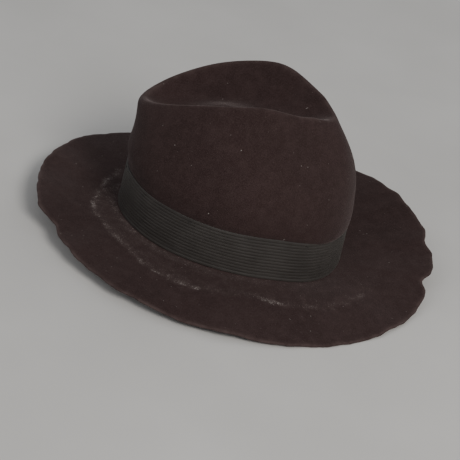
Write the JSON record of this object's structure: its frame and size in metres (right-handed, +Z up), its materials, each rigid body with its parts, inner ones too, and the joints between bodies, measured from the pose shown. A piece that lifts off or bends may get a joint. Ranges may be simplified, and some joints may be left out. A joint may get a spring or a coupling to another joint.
{
  "type": "fedora hat",
  "caption": "Fedora hat: creased felt crown, wide worn wavy brim that snaps up at the front, ribbed ribbon with a side bow, leather sweatband and satin lining.",
  "frame": {"origin": "centre of the head opening, in the plane where crown and brim meet", "axes": "+X towards the wearer's front, +Y towards the wearer's left, +Z up out of the crown"},
  "size_m": [0.3566, 0.328, 0.153],
  "materials": {
    "felt": "worn matt fur felt",
    "ribbon": "ribbed grosgrain ribbon",
    "thread": "waxed thread",
    "leather": "smooth sweatband leather",
    "reed": "extruded reed",
    "tape": "cotton tape",
    "satin": "satin lining",
    "piping": "satin piping",
    "paper": "blank paper tag"
  },
  "bodies": {
    "crown": {"crown_top": "felt", "crown_side": "felt", "rear_brim": "felt", "ribbon_band": "ribbon", "ribbon_lap": "ribbon", "bow_front_loop": "ribbon", "bow_rear_loop": "ribbon", "bow_knot": "ribbon", "bow_tail": "ribbon", "ribbon_tacks": "thread", "bow_tacks": "thread", "sweatband": "leather", "sweatband_reed": "reed", "reed_tape": "tape", "sweatband_stitches": "thread", "sweatband_seam": "leather", "rear_bow_loops": "ribbon", "rear_bow_knot": "ribbon", "lining_side": "satin", "lining_tip": "satin", "lining_piping": "piping", "lining_tacks": "thread", "size_tag": "paper"},
    "brim_front": {"front_brim": "felt"}
  },
  "joints": [
    {"name": "brim_snap", "type": "hinge", "parent": "crown", "child": "brim_front", "pos_m": [0.108, 0, 0.0008], "axis": [0, -0.9958, -0.0919], "range_deg": [0, 35]}
  ]
}
